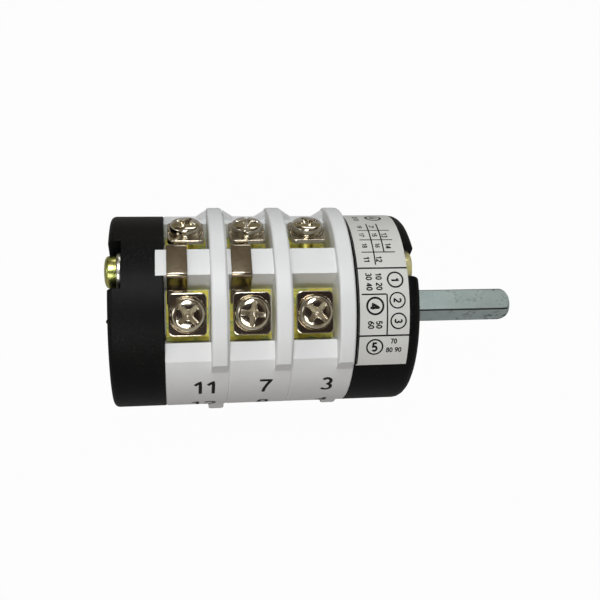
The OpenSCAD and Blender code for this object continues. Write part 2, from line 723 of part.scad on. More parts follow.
rear_cap();
for (i = [1:stage_n]) stage_body(i);
front_cap();
for (i = [1:stage_n]) for (k = [0:3])
    terminal(i, sides[k]);
for (i = [1:stage_n]) clamp_plates(i);
for (i = [1:stage_n]) terminal_screws(i);
for (i = [2:stage_n]) jumper(i);
through_bolts();
bolt_washers();
bolt_nuts();
threaded_inserts();
rating_label();
shaft();
retaining_ring();
for (i = [1:stage_n]) cam(i);
detent_rotor();
for (m = [0, 1]) leaf_spring(m);
for (i = [1:stage_n]) for (m = [0, 1])
    plunger(i, m);
for (i = [1:stage_n]) for (m = [0, 1])
    bridge(i, m);
for (i = [1:stage_n]) for (m = [0, 1])
    contact_spring(i, m);
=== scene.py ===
import math

import bmesh
import bpy
import numpy as np
from mathutils import Matrix, Vector


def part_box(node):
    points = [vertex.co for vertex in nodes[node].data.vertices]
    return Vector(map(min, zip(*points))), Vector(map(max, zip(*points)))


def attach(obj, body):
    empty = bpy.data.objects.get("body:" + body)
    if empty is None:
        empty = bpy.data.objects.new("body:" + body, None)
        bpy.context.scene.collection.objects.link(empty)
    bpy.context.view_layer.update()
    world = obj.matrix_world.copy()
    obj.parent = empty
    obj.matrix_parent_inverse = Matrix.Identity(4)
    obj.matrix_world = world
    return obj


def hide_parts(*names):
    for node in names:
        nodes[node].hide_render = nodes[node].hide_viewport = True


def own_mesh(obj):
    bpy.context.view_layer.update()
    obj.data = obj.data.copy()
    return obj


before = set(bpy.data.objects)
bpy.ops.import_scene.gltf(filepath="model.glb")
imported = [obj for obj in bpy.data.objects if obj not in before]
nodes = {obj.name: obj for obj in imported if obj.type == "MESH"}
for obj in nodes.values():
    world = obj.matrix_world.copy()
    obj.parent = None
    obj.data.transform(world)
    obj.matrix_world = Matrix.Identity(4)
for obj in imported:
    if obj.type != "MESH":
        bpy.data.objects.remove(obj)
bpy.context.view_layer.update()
scene = bpy.context.scene
scene.view_settings.view_transform = "Standard"
MM = 0.001


# Camera
# A 50 mm lens on a 36 mm square frame, held high on the side where the numbers 3, 7 and 11
# are, and turned a little so that the shaft points to the right.
lens = bpy.data.cameras.new("lens")
lens.lens = 49.91
lens.sensor_width = 36.0
lens.clip_start = 5 * MM
lens.clip_end = 20.0
camera = bpy.data.objects.new("camera", lens)
scene.collection.objects.link(camera)
camera_right = Vector((0.98866, -0.08810, 0.12153)).normalized()
camera_up = Vector((0.01859, 0.87528, 0.48325))
camera_up = (camera_up - camera_right * camera_up.dot(camera_right)).normalized()
camera_place = Vector((-54.72, -95.48, 178.19)) * MM
camera_turn = Matrix((camera_right, camera_up, camera_right.cross(camera_up))).transposed()
camera.matrix_world = Matrix.Translation(camera_place) @ camera_turn.to_4x4()
scene.camera = camera


# Table, sky and lamps
# The switch lies on the lower ribs of its stages on a white table. Four soft boxes light it,
# and its plated parts mirror a dim brown room with a dark screen behind the camera.
class Wire:
    """A value in a finish. + - * > and abs() on it add the Math nodes that work them out."""

    def __init__(self, finish, socket):
        self.finish, self.socket = finish, socket

    def maths(self, operation, first, second=0.0):
        """The wire of a Math node that works on two values or wires."""
        return self.finish.node("Math", {"operation": operation}, {0: first, 1: second})

    def __add__(self, other):
        return self.maths("ADD", self, other)

    def __radd__(self, other):
        return self.maths("ADD", other, self)

    def __sub__(self, other):
        return self.maths("SUBTRACT", self, other)

    def __rsub__(self, other):
        return self.maths("SUBTRACT", other, self)

    def __mul__(self, other):
        return self.maths("MULTIPLY", self, other)

    def __rmul__(self, other):
        return self.maths("MULTIPLY", other, self)

    def __gt__(self, other):
        return self.maths("GREATER_THAN", self, other)

    def __abs__(self):
        return self.maths("ABSOLUTE", self)

    def most(self, other):
        """The greater of the two values."""
        return self.maths("MAXIMUM", self, other)

    def ramp(self, low, high):
        """0 below low, 1 above high, and an even slope between them."""
        return self.finish.node("MapRange", {"clamp": True}, {0: self, 1: low, 2: high})


class Nodes:
    """The nodes of one material or of the sky."""

    def __init__(self, tree):
        self.tree = tree

    def node(self, kind, settings=None, inputs=None, output=0):
        """Adds a node: its settings first, then the value or the wire of each input socket."""
        made = self.tree.nodes.new("ShaderNode" + kind)
        for key, value in (settings or {}).items():
            setattr(made, key, value)
        for key, value in (inputs or {}).items():
            if isinstance(value, Wire):
                self.tree.links.new(value.socket, made.inputs[key])
            else:
                made.inputs[key].default_value = value
        return Wire(self, made.outputs[output])

    def mix(self, mask, low, high):
        """The colour low where the mask is 0, and high where it is 1."""
        tinted = [c if isinstance(c, Wire) else (*c, 1.0) for c in (low, high)]
        return self.node("Mix", {"data_type": "RGBA"}, {0: mask, 6: tinted[0], 7: tinted[1]}, 2)

    def seen(self):
        """1 where the camera looks, also through something clear, and 0 for all other light."""
        straight = self.node("LightPath", output="Is Camera Ray")
        return straight.most(self.node("LightPath", output="Is Transmission Ray"))


class Finish(Nodes):
    """One finish: a material, its shader, and the wires that feed it."""

    def __init__(self, name, **constants):
        self.material = bpy.data.materials.new(name)
        self.material.use_nodes = True
        super().__init__(self.material.node_tree)
        self.shader = self.tree.nodes["Principled BSDF"]
        for socket, value in constants.items():
            self.shader.inputs[socket.replace("_", " ")].default_value = value

    def spot(self, scale=1.0, stretch=(1, 1, 1)):
        """The point on the piece in millimetres, times scale."""
        place = self.node("TexCoord", output="Object")
        factor = [scale / MM * s for s in stretch]
        return self.node("VectorMath", {"operation": "MULTIPLY"}, {0: place, 1: factor})

    def cloud(self, size, detail=3.0, rough=0.55, stretch=(1, 1, 1)):
        """Cloudy noise from 0 to 1 whose features are about size millimetres wide."""
        return self.node("TexNoise", None, {
            "Vector": self.spot(1 / size, stretch), "Scale": 1.0, "Detail": detail,
            "Roughness": rough})

    def bump(self, height, depth, normal=None):
        """The normal of a surface that rises depth millimetres where height goes from 0 to 1."""
        inputs = {"Strength": 1.0, "Distance": depth * MM, "Height": height}
        if normal is not None:
            inputs["Normal"] = normal
        return self.node("Bump", None, inputs)

    def feed(self, **wires):
        """Links wires to the shader's sockets of these names, and returns the material."""
        for socket, wire in wires.items():
            self.tree.links.new(wire.socket, self.shader.inputs[socket.replace("_", " ")])
        return self.material


table_z, table_half = -24.5, 900
table_mesh = bpy.data.meshes.new("table")
table_mesh.from_pydata([
    (x * table_half * MM, y * table_half * MM, table_z * MM)
    for x, y in ((-1, -1), (1, -1), (1, 1), (-1, 1))], [], [(0, 1, 2, 3)])
table = bpy.data.objects.new("table", table_mesh)
scene.collection.objects.link(table)
# How much of the table is plain white to the camera and to the plating. The rest of it takes
# light, and the shadow of the switch with it
white_seen, white_mirrored = 0.975, 0.15
paper = Finish("table_paper", Base_Color=(0.30, 0.275, 0.27, 1.0), Roughness=0.9)
glow = paper.node("Emission", None, {"Color": (1, 1, 1, 1), "Strength": 1.0})
mirrored = paper.node("LightPath", output="Is Glossy Ray")
lit = paper.node("MixShader", None, {
    0: paper.seen() * white_seen + mirrored * white_mirrored,
    1: Wire(paper, paper.shader.outputs[0]), 2: glow})
paper.tree.links.new(lit.socket, paper.tree.nodes["Material Output"].inputs["Surface"])
table_mesh.materials.append(paper.material)

# The sky is white to the camera. What is glossy mirrors a room with a pale foot that is
# darker behind the switch, a dark band over it, a brown top and a nearly black screen where
# the camera stands, and everything else gets an even grey light
world = bpy.data.worlds.new("sky")
scene.world = world
world.use_nodes = True
sky = Nodes(world.node_tree)
sky_way = sky.node("TexCoord", output="Generated")
sky_rise = sky.node("SeparateXYZ", None, {0: sky_way}, 2)
sky_rear = sky.node("SeparateXYZ", None, {0: sky_way}, 1).ramp(0.2, 0.8)
screen_way = Vector((-0.02, -0.54, 0.84))
screen = sky.node("VectorMath", {"operation": "DOT_PRODUCT"}, {0: sky_way, 1: screen_way},
                  "Value").ramp(0.82, 0.94)
sky_foot = sky.mix(sky_rear, (0.42, 0.39, 0.31), (0.21, 0.185, 0.12))
sky_tone = sky.mix(sky_rise.ramp(0.28, 0.50), sky_foot, (0.05, 0.034, 0.026))
sky_tone = sky.mix(sky_rise.ramp(0.60, 0.86), sky_tone, (0.22, 0.185, 0.14))
sky_tone = sky.mix(screen, sky_tone, (0.022, 0.013, 0.010))
room = sky.node("Background", None, {"Color": (0.62, 0.62, 0.62, 1.0), "Strength": 0.27})
room = sky.node("MixShader", None, {
    0: sky.node("LightPath", output="Is Glossy Ray"), 1: room,
    2: sky.node("Background", None, {"Color": sky_tone, "Strength": 1.0})})
white = sky.node("Background", None, {"Color": (1, 1, 1, 1), "Strength": 1.0})
lit = sky.node("MixShader", None, {0: sky.seen(), 1: room, 2: white})
sky.tree.links.new(lit.socket, sky.tree.nodes["World Output"].inputs["Surface"])

# Each lamp's name, place, width, height, power in watts and colour, with lengths in mm. All
# of them face the middle of the barrel
barrel_middle = Vector((-30, 0, 0))
for name, place, wide, high, power, tone in (
        ("front_box", (-150, -420, 320), 240, 160, 0.74, (1.0, 0.98, 0.955)),
        ("top_box", (-70, 10, 560), 230, 150, 1.48, (0.97, 0.99, 1.0)),
        ("back_box", (60, 420, 260), 220, 120, 0.28, (1.0, 0.99, 0.97)),
        ("side_box", (-420, -60, 260), 140, 200, 0.2, (1.0, 1.0, 1.0))):
    light = bpy.data.lights.new(name, "AREA")
    light.shape = "RECTANGLE"
    light.size, light.size_y = wide * MM, high * MM
    light.energy, light.color = power, tone
    lamp = bpy.data.objects.new(name, light)
    lamp.location = Vector(place) * MM
    lamp.rotation_euler = (barrel_middle - Vector(place)).to_track_quat("-Z", "Y").to_euler()
    scene.collection.objects.link(lamp)


# Black end caps
# Two round caps moulded in black filled nylon close the stack: the rear one holds the shaft's
# blind bearing and the bolt heads, the front one the detent and the mounting inserts.
def dress(names, material):
    """Gives the CAD nodes of these names one material in place of their plain one."""
    for name in names:
        nodes[name].data.materials.clear()
        nodes[name].data.materials.append(material)


black = Finish("black_moulding", IOR=1.44, Specular_IOR_Level=0.15)
black_dust = black.cloud(0.55, 6.0, 0.72).ramp(0.50, 0.74)
black_patch = black.cloud(9.0, 2.0).ramp(0.42, 0.68)
black_haze = black_dust * black_patch
black_fine = black.cloud(0.16, 2.0)
black_tone = black.mix(black_haze, (0.0022, 0.0022, 0.0025), (0.022, 0.023, 0.024))
black_skin = black.node("Bevel", {"samples": 6}, {"Radius": 0.16 * MM})
black.feed(
    Base_Color=black_tone,
    Roughness=0.44 + black_haze * 0.26 + black.cloud(2.2, 3.0) * 0.10,
    Normal=black.bump(black_fine, 0.010, black_skin))
dress(("rear_cap", "front_cap"), black.material)


def grid_faces(rows, columns, round_=True, loop=False):
    """Quads between the points of a grid that is stored row by row. round_ joins the last
    column to the first, and loop joins the last row to the first."""
    i, j = np.meshgrid(np.arange(rows if loop else rows - 1),
                       np.arange(columns if round_ else columns - 1), indexing="ij")
    down, across = (i + 1) % rows, (j + 1) % columns
    return np.stack([i * columns + j, i * columns + across, down * columns + across,
                     down * columns + j], -1).reshape(-1, 4)


def add_piece(name, shells, material, replaces=()):
    """One piece out of shells, which are pairs of points in mm and faces. Doubled points at
    seams and poles are merged, the faces are turned outwards, and an edge stays sharp where
    they meet at more than 38 degrees."""
    points, faces, start = [], [], 0
    for shell_points, shell_faces in shells:
        points.append(np.asarray(shell_points, float).reshape(-1, 3) * MM)
        faces.extend((np.asarray(face) + start).tolist() for face in shell_faces)
        start += len(points[-1])
    mesh = bpy.data.meshes.new(name)
    mesh.from_pydata(np.concatenate(points), [], faces)
    made = bmesh.new()
    made.from_mesh(mesh)
    bmesh.ops.remove_doubles(made, verts=made.verts, dist=0.0005 * MM)
    bmesh.ops.dissolve_degenerate(made, edges=made.edges, dist=0.0002 * MM)
    bmesh.ops.recalc_face_normals(made, faces=made.faces)
    made.to_mesh(mesh)
    made.free()
    mesh.shade_smooth()
    mesh.set_sharp_from_angle(angle=math.radians(38))
    mesh.materials.append(material)
    piece = bpy.data.objects.new(name, mesh)
    scene.collection.objects.link(piece)
    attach(piece, "housing")
    if replaces:
        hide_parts(*replaces)
    return piece


def lathe(profile, around=96, loop=False):
    """Points of a profile of (radius, height) turned about Z: (r cos a, r sin a, h). loop
    joins the profile's end to its start."""
    profile = np.asarray(profile, float)
    a = np.linspace(0, 2 * math.pi, around, endpoint=False)
    points = np.stack([profile[:, :1] * np.cos(a), profile[:, :1] * np.sin(a),
                       np.repeat(profile[:, 1:], around, 1)], -1)
    return points, grid_faces(len(profile), around, loop=loop)


def along_x(points, centre, way=1):
    """Lays a shape that was made about Z along X, with its origin at centre: X, Y and Z are
    taken from Z, X and Y. A way of -1 turns it half round, to point to the rear."""
    return np.stack([way * points[..., 2], way * points[..., 0], points[..., 1]], -1) + centre


# The gate mark that the mould left on the rear cap's outer edge
gate_r, gate_h = 0.55, 0.45
gate_x, gate_reach, gate_angle = -68.85, 20.6, math.radians(56)
gate_s = np.linspace(0, math.pi / 2, 7)
gate_profile = np.stack([gate_r * np.cos(gate_s), gate_h * np.sin(gate_s)], 1)
gate_points, gate_faces = lathe(gate_profile, 20)
gate_place = (gate_x, -gate_reach * math.cos(gate_angle), gate_reach * math.sin(gate_angle))
add_piece("rear_gate_mark", [(along_x(gate_points, gate_place, -1), gate_faces)],
          black.material)


# White contact stages
# Three alike bodies moulded in white glass-filled polyester, each with its terminal pockets at
# the rear and a rib at the front, keyed together. Numbers 1 to 12 are pad-printed in black.
white_plastic = Finish("white_moulding", IOR=1.5)
white_cloud = white_plastic.cloud(7.0, 3.0)
white_speck = white_plastic.node("TexVoronoi", {"feature": "F1"}, {
    "Vector": white_plastic.spot(1 / 2.6), "Scale": 1.0})
white_rare = white_plastic.cloud(3.1, 1.0).ramp(0.60, 0.66)
white_dot = (1.0 - white_speck.ramp(0.030, 0.050)) * white_rare
white_tone = white_plastic.mix(white_cloud, (0.765, 0.775, 0.775), (0.83, 0.835, 0.83))
white_tone = white_plastic.mix(white_dot * 0.6, white_tone, (0.25, 0.24, 0.22))
white_skin = white_plastic.node("Bevel", {"samples": 6}, {"Radius": 0.14 * MM})
white_plastic.feed(
    Base_Color=white_tone,
    Roughness=0.34 + white_cloud * 0.16,
    Normal=white_plastic.bump(white_plastic.cloud(0.30, 2.0), 0.006, white_skin))
stage_l, front_cap_l = 14.0, 15.0
stage_start = {stage: -front_cap_l - stage_l * stage for stage in (1, 2, 3)}
dress([f"stage_body_{stage}" for stage in stage_start], white_plastic.material)

ink = Finish("printing_ink", Specular_IOR_Level=0.2)
ink_wear = ink.cloud(0.5, 4.0)
ink.feed(Base_Color=ink.mix(ink_wear, (0.003, 0.003, 0.003), (0.012, 0.011, 0.011)),
         Roughness=0.42 + ink_wear * 0.2)


def bow(cx, cy, rx, ry, start, end, steps=14):
    """Points of an arc of an ellipse about (cx, cy), with angles in degrees."""
    a = np.radians(np.linspace(start, end, steps))
    return np.stack([cx + rx * np.cos(a), cy + ry * np.sin(a)], 1).tolist()


# The strokes of each figure on a height of 1, as a sign painter would draw them
six = [bow(0.29, 0.29, 0.23, 0.24, 180, 540, 26), bow(0.66, 0.32, 0.60, 0.62, 105, 184)]
strokes = {
    "0": [bow(0.28, 0.50, 0.22, 0.44, 90, 450, 30)],
    "1": [[(0.06, 0.72), (0.31, 0.94), (0.31, 0.0)]],
    "2": [bow(0.29, 0.70, 0.22, 0.24, 165, -25) + [(0.06, 0.055), (0.54, 0.055)]],
    "3": [bow(0.27, 0.725, 0.19, 0.215, 150, -90) + bow(0.27, 0.28, 0.22, 0.23, 90, -155)],
    "4": [[(0.42, 0.0), (0.42, 0.92), (0.04, 0.27), (0.58, 0.27)]],
    "5": [[(0.50, 0.94), (0.14, 0.94), (0.10, 0.53)] + bow(0.27, 0.31, 0.23, 0.26, 115, -150)],
    "6": six,
    "7": [[(0.04, 0.94), (0.55, 0.94), (0.38, 0.62), (0.27, 0.30), (0.23, 0.0)]],
    "8": [bow(0.29, 0.72, 0.19, 0.22, -90, 270, 24), bow(0.29, 0.28, 0.23, 0.24, 90, 450, 26)],
    "9": [[(0.58 - x, 1.0 - y) for x, y in path] for path in six]}
figure_step = 0.68
narrow_step = {"1": 0.59, " ": 0.40}
mitre_most = 1.4


def ribbon(path, width, step=0.09):
    """A flat ribbon along a path: each stretch is cut into short steps, and both edges lie
    half the width beside it, along the mitred normal."""
    path = np.array(path, float)
    path = path[np.append(True, np.linalg.norm(np.diff(path, axis=0), axis=1) > 1e-6)]
    cuts = [np.linspace(p, q, int(np.linalg.norm(q - p) / step) + 2)[:-1]
            for p, q in zip(path, path[1:])]
    path = np.concatenate(cuts + [path[-1:]])
    run = np.diff(path, axis=0)
    run /= np.linalg.norm(run, axis=1)[:, None]
    shut = np.allclose(path[0], path[-1])
    run_in = np.vstack([run[-1:] if shut else run[:1], run])
    run_out = np.vstack([run, run[:1] if shut else run[-1:]])
    both = run_in + run_out
    mitre = np.stack([-both[:, 1], both[:, 0]], 1)
    mitre *= np.minimum(2 / np.sum(mitre ** 2, 1), mitre_most)[:, None] * width / 2
    return np.stack([path - mitre, path + mitre]), grid_faces(2, len(path), round_=False)


def figure(text, height, stroke=0.15):
    """A word of figures as flat ribbons in mm, centred, with figures of that height."""
    points, faces, start, pen = [], [], 0, 0.0
    for sign in text:
        for path in strokes.get(sign, []):
            edge_points, edge_faces = ribbon(np.array(path) + (pen, 0), stroke)
            points.append(edge_points.reshape(-1, 2))
            faces.append(edge_faces + start)
            start += len(points[-1])
        pen += narrow_step.get(sign, figure_step)
    points = np.concatenate(points)
    points = (points - (points.min(0) + points.max(0)) / 2) * height
    return np.concatenate([points, np.zeros((len(points), 1))], 1), np.concatenate(faces)


def on_barrel(points, x, angle, radius, turn=0.0):
    """Bends flat points round the barrel. Their middle goes to X = x and to the angle from +Z
    towards -Y, and turn rotates them first. One step up on them is one step nearer to +Z."""
    c, s = math.cos(turn), math.sin(turn)
    along = points[:, 0] * c - points[:, 1] * s
    up = points[:, 0] * s + points[:, 1] * c
    a = angle - up / radius
    return np.stack([x + along, -radius * np.sin(a), radius * np.cos(a)], 1)


barrel_r, ink_lift = 22.5, 0.02
figure_h = 4.95
figure_x = {1: -20.6, 2: -34.6, 3: -48.5}
# The angles from +Z of the even and of the odd numbers, which stand over the even ones. The
# last two of a stage are on the -Y side, and the first two are turned half round to +Y
figure_angles = (math.radians(104.8), math.radians(79.3))
for stage, x in figure_x.items():
    shells = []
    for place in (1, 2, 3, 4):
        points, faces = figure(str(4 * stage - 4 + place), figure_h)
        bent = on_barrel(points, 0.0, figure_angles[place % 2], barrel_r + ink_lift)
        if place < 3:
            bent *= (-1, -1, 1)
        shells.append((bent + (x, 0, 0), faces))
    add_piece(f"printed_numbers_{stage}", shells, ink.material)


# Terminals
# Each of the twelve terminals is a bent brass strip, zinc-plated and yellow-passivated, whose
# threaded pad lies on the floor of a pocket. Its finish runs from gold through green to pink.
yellow_pad = Finish("passivated_terminal", Metallic=1.0)
pad_film = yellow_pad.cloud(2.6, 3.0, stretch=(1.0, 1.6, 1.6))
pad_tone = yellow_pad.mix(pad_film.ramp(0.36, 0.52), (0.84, 0.72, 0.13), (0.94, 0.88, 0.20))
pad_tone = yellow_pad.mix(pad_film.ramp(0.52, 0.62), pad_tone, (0.52, 0.62, 0.20))
pad_tone = yellow_pad.mix(pad_film.ramp(0.63, 0.74), pad_tone, (0.74, 0.44, 0.30))
pad_skin = yellow_pad.node("Bevel", {"samples": 4}, {"Radius": 0.12 * MM})
yellow_pad.feed(
    Base_Color=pad_tone, Roughness=0.32 + yellow_pad.cloud(0.8, 3.0) * 0.24,
    Normal=yellow_pad.bump(yellow_pad.cloud(0.4, 3.0), 0.006, pad_skin))
dress([f"terminal_{number}" for number in range(1, 13)], yellow_pad.material)


# Clamp plates
# Nearly square pressed plates of nickel-plated steel, with rounded corners, a dish for the
# screw and a small pip on either side of it. The screw pulls each one down on the wire.
tilt = math.radians(30)
screw_x, screw_t = 5.0, 0.3
sides = ((1, 1), (1, -1), (-1, 1), (-1, -1))


def at_face(points, stage, side):
    """Takes points from the frame of a terminal's screw to the switch. Their X runs along the
    barrel, the second across the face and the third out of it. The face looks 30 degrees away
    from +Z or -Z, and the two signs of side pick one of the four faces round the stage."""
    points = np.asarray(points, float)
    t, d = points[..., 1] + screw_t, points[..., 2]
    return np.stack([
        points[..., 0] + stage_start[stage] + screw_x,
        side[0] * (t * math.cos(tilt) + d * math.sin(tilt)),
        side[1] * (d * math.cos(tilt) - t * math.sin(tilt))], -1)


def nickel_finish(name, light, dark, stain_and_reflection, rough, seed):
    """Bright plating: a warm base, faint drawing marks, and clouds of the darker colour,
    which are partly stains and partly a painted reflection of a brown room.
    """
    made = Finish(name, Metallic=1.0)
    film = made.node("TexNoise", {"noise_dimensions": "4D"}, {
        "Vector": made.spot(1 / 2.2), "W": seed, "Scale": 1.0, "Detail": 4.0, "Roughness": 0.6})
    fine = made.cloud(0.35, 3.0)
    # The darker clouds are partly stains and partly a painted reflection of a brown room
    tone = made.mix(film.ramp(0.48, 0.72) * stain_and_reflection, light, dark)
    skin = made.node("Bevel", {"samples": 4}, {"Radius": 0.08 * MM})
    return made.feed(Base_Color=tone, Roughness=rough + film * 0.10 + fine * 0.05,
                     Normal=made.bump(film + fine * 0.3, 0.012, skin))


plate_nickel = nickel_finish(
    "nickel_plate", (0.68, 0.63, 0.53), (0.34, 0.25, 0.18), 0.7, 0.07, 2.0)
plate_half = (4.15, 4.7)
plate_corner, plate_round, plate_hole = 1.2, 0.16, 1.95
# Distances from the shaft's axis, square to the face: underside, floor of the dish and top
plate_low, plate_floor, plate_top = 20.0, 20.66, 21.0
dish_r, dish_run = 3.72, 0.30
pip_reach, pip_half, pip_h = 3.96, (0.40, 0.26), 0.34
plate_around = 160
corner_s = np.linspace(0, 2 * math.pi, plate_around, endpoint=False)


def rounded_rectangle(half, corner, angles):
    """Points in the directions angles on a rectangle with quarter-round corners: the ray to
    the straight side, pulled in to the corner's circle where it would pass outside it."""
    c, s = np.abs(np.cos(angles)), np.abs(np.sin(angles))
    reach = np.minimum(half[0] / np.maximum(c, 1e-9), half[1] / np.maximum(s, 1e-9))
    mx, my = half[0] - corner, half[1] - corner
    along = mx * c + my * s
    rest = along ** 2 - (mx ** 2 + my ** 2 - corner ** 2)
    bend = along + np.sqrt(np.maximum(rest, 0))
    on_corner = (reach * c > mx) & (reach * s > my)
    reach = np.where(on_corner, bend, reach)
    return np.stack([reach * np.cos(angles), reach * np.sin(angles)], 1)


def clamp_plate():
    """Rings at given shares of the way from the hole's circle to the outline and back. The top
    falls into a round dish under the screw's washer by 1 - s^2 (3 - 2 s), where s goes from 0
    at the dish's floor to 1 over its slope. The pips are half ellipsoids on the X axis."""
    outline = rounded_rectangle(plate_half, plate_corner, corner_s)
    hole = np.stack([plate_hole * np.cos(corner_s), plate_hole * np.sin(corner_s)], 1)
    inset = 1.0 - plate_round * 0.12
    under = [(0.0, plate_low + 0.1), (0.03, plate_low), (0.5, plate_low), (0.95, plate_low),
             (inset, plate_low)]
    wall = [(1.0, plate_low + plate_round), (1.0, plate_top - plate_round),
            (inset, plate_top - 0.04)]
    over = [(share, plate_top) for share in (0.95, 0.90, *np.linspace(0.87, 0.02, 26))]
    rings = np.array(under + wall + over + [(0.0, plate_top - 0.08)])
    flat = hole + (outline - hole) * rings[:, :1, None]
    height = np.repeat(rings[:, 1:], plate_around, 1)
    top = np.arange(len(rings))[:, None] >= len(under + wall)
    lift = np.clip((np.linalg.norm(flat, axis=-1) - dish_r) / dish_run, 0, 1)
    height = height - top * (plate_top - plate_floor) * (1 - lift * lift * (3 - 2 * lift))
    for pip_x in (-pip_reach, pip_reach):
        away = ((flat[..., 0] - pip_x) / pip_half[0]) ** 2 + (flat[..., 1] / pip_half[1]) ** 2
        height = height + top * pip_h * np.sqrt(np.maximum(1 - away, 0))
    points = np.concatenate([flat, height[..., None]], -1)
    return points, grid_faces(len(rings), plate_around, loop=True)


plate_points, plate_faces = clamp_plate()
for stage in stage_start:
    add_piece(f"clamp_plate_set_{stage}",
              [(at_face(plate_points, stage, side), plate_faces) for side in sides],
              plate_nickel, replaces=[f"clamp_plates_{stage}"])


# Terminal screws
# Nickel-plated M3.5 pan heads on a pressed washer, with a tapered cross recess; some also have
# a slot from edge to edge. Each stands at the angle at which its driver left it.
def pan_screw(head_r, head_h, washer, stem, turn, slot=False, around=200):
    """A screw that stands on z = 0, turned about Z. Over its side wall the head is a rounded
    pan: z = rim + edge * (1 - s^6)^0.45 + crown * (1 - s^2) with s = r / R. The cross is cut
    down from it: a cone in the middle and four wings that get narrower and shallower outwards
    between steep walls. washer is (radius, height) or None, and stem is (radius, length)."""
    stem_r, stem_l = stem
    rows = [(0.0, -stem_l), (stem_r * 0.8, -stem_l), (stem_r, -stem_l + stem_r * 0.3),
            (stem_r, -0.35), (stem_r, 0.0)]
    base = 0.0
    if washer:
        washer_r, washer_t = washer
        rows += [(washer_r - 0.12, 0.0), (washer_r, 0.10), (washer_r, washer_t - 0.10),
                 (washer_r - 0.12, washer_t), (head_r * 0.90, washer_t + 0.02)]
        base = washer_t + 0.12
    rim = base + (head_h - base) * 0.60
    crown = (head_h - base) * 0.10
    edge = head_h - rim - crown
    rows += [(head_r * 0.94, base), (head_r * 0.99, base + 0.08), (head_r, base + 0.2),
             (head_r, rim)]
    rows = np.array(rows)
    share = np.concatenate([np.cos(np.linspace(0.04, 0.60, 12)), np.linspace(0.81, 0.0, 56)])
    pan = rim + edge * np.maximum(1 - share ** 6, 0) ** 0.45 + crown * (1 - share ** 2)
    a = np.linspace(0, 2 * math.pi, around, endpoint=False)
    radius = np.concatenate([rows[:, 0], head_r * share])[:, None] * np.ones(around)
    height = np.concatenate([rows[:, 1], pan])[:, None] * np.ones(around)
    x, y = radius * np.cos(a - turn), radius * np.sin(a - turn)
    depth, length, steep = (head_h - base) * 0.66, head_r * 0.76, head_r * 0.05
    wing_half, wing_taper = head_r * 0.155, head_r * 0.04
    slot_half, slot_floor = head_r * 0.12, head_h * 0.62
    cut = depth * np.clip(1.1 - radius / (head_r * 0.30), 0, 1)
    for u, v in ((x, y), (y, x)):
        far = np.clip(np.abs(u) / length, 0, 1)
        wall = np.clip((wing_half - wing_taper * far - np.abs(v)) / steep + 0.5, 0, 1)
        cut = np.maximum(cut, depth * (1 - far) ** 0.8 * wall)
    if slot:
        wall = np.clip((slot_half - np.abs(y)) / steep + 0.5, 0, 1)
        cut = np.maximum(cut, np.maximum(height - slot_floor, 0) * wall)
    height = np.where(np.arange(len(radius))[:, None] >= len(rows), height - cut, height)
    points = np.stack([radius * np.cos(a), radius * np.sin(a), height], -1)
    return points, grid_faces(len(radius), around)


screw_nickel = nickel_finish(
    "nickel_screw", (0.72, 0.68, 0.57), (0.30, 0.22, 0.15), 0.75, 0.05, 5.0)
screw_r, screw_h = 3.54, 2.74
screw_washer, screw_stem = (3.64, 0.42), (1.72, 8.0)
# The angle of each cross in degrees, by stage and face, and the screws that have a slot too
screw_turns = {1: (20, 70, 42, 50), 2: (88, 50, 8, 80), 3: (60, 35, 47, 10)}
slotted = {(2, 0), (1, 1), (3, 3)}
for stage, turns in screw_turns.items():
    shells = []
    for place, (side, turn) in enumerate(zip(sides, turns)):
        points, faces = pan_screw(screw_r, screw_h, screw_washer, screw_stem,
                                  math.radians(turn), (stage, place) in slotted)
        points[..., 2] += plate_floor
        shells.append((at_face(points, stage, side), faces))
    add_piece(f"terminal_screw_set_{stage}", shells, screw_nickel,
              replaces=[f"terminal_screws_{stage}"])


# Jumper strips
# Two strips of nickel-plated brass bridge the terminals of stages 2 and 3 over the boss. Each
# is bent four times, and its feet are held under the clamp plates.
strip_nickel = nickel_finish(
    "nickel_strip", (0.44, 0.39, 0.30), (0.30, 0.21, 0.15), 0.8, 0.13, 9.0)
strip_w, strip_t = 4.5, 0.8
strip_start = 0.6
# Where the upright legs and the top lie, then the foot's distance from the axis, square to
# the face, and where it ends across the face, and the radii of the bends
strip_side, strip_top = 3.77, 23.0
strip_foot_d, strip_reach = 16.6, -1.95
foot_bend, top_bend = 0.55, 0.46


def bent_path(corners, radii, steps=8):
    """Points of a path with an arc of the given radius in place of each inner corner."""
    path = [np.array(corners[0], float)]
    for before, at, after, radius in zip(corners, corners[1:], corners[2:], radii):
        before, at, after = (np.array(p, float) for p in (before, at, after))
        one, two = before - at, after - at
        one, two = one / np.linalg.norm(one), two / np.linalg.norm(two)
        half = math.acos(np.clip(one @ two, -1, 1)) / 2
        reach = radius / math.tan(half)
        centre = at + (one + two) / np.linalg.norm(one + two) * radius / math.sin(half)
        first, last = at + one * reach - centre, at + two * reach - centre
        angle = math.acos(np.clip(first @ last / radius ** 2, -1, 1))
        for k in np.linspace(0, 1, steps):
            path.append(centre + (first * math.sin((1 - k) * angle) + last * math.sin(k * angle))
                        / math.sin(angle))
    path.append(np.array(corners[-1], float))
    return np.array(path)


